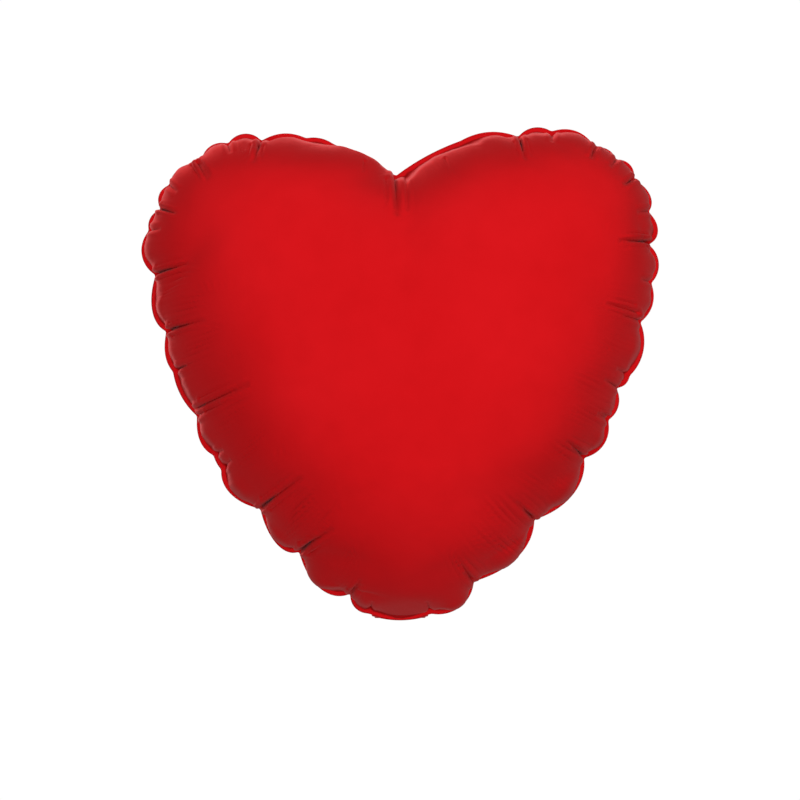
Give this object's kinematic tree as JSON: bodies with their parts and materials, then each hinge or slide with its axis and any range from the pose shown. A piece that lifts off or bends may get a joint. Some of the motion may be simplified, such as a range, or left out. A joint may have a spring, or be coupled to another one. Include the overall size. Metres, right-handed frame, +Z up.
{
  "type": "heart-shaped foil balloon",
  "caption": "Inflated heart-shaped red foil balloon: two domed film panels welded round a puckered seam, with a folding neck and a self-sealing film valve.",
  "frame": {"origin": "middle of the fold at the heart's tip, where the neck leaves the balloon and the ribbon or stick cup grips it", "axes": "+Z up the heart from the tip to the cleft, the front panel faces -Y, +X to the right as seen from the front; the seam lies in the plane Y = 0"},
  "size_m": [0.3846, 0.16, 0.3687],
  "materials": {
    "foil": "satin metallised film, red lacquer on the outside",
    "sealant": "fused polyethylene between two foil layers",
    "valve_film": "clear polyethylene film, slightly milky",
    "release_coat": "matt heat-resistant printed coat"
  },
  "bodies": {
    "balloon": {"front_panel": "foil", "rear_panel": "foil", "seam_weld": "sealant", "valve_crossing_weld": "sealant", "valve_release_coat": "release_coat", "valve_front_film": "valve_film", "valve_side_welds": "valve_film"},
    "valve_flap": {"valve_rear_film": "valve_film"},
    "neck": {"neck_front_film": "foil", "neck_rear_film": "foil", "neck_side_welds": "sealant", "neck_end_weld": "sealant", "neck_valve_front_film": "valve_film", "neck_valve_rear_film": "valve_film"}
  },
  "joints": [
    {"name": "neck_fold", "type": "hinge", "parent": "balloon", "child": "neck", "pos_m": [0, 0, 0], "axis": [-1, 0, 0], "range_deg": [0, 232]},
    {"name": "valve_open", "type": "hinge", "parent": "balloon", "child": "valve_flap", "pos_m": [0, 0.0001, 0.011], "axis": [-1, 0, 0], "range_deg": [0, 6], "stiffness_Nm_per_rad": 0.0002}
  ]
}
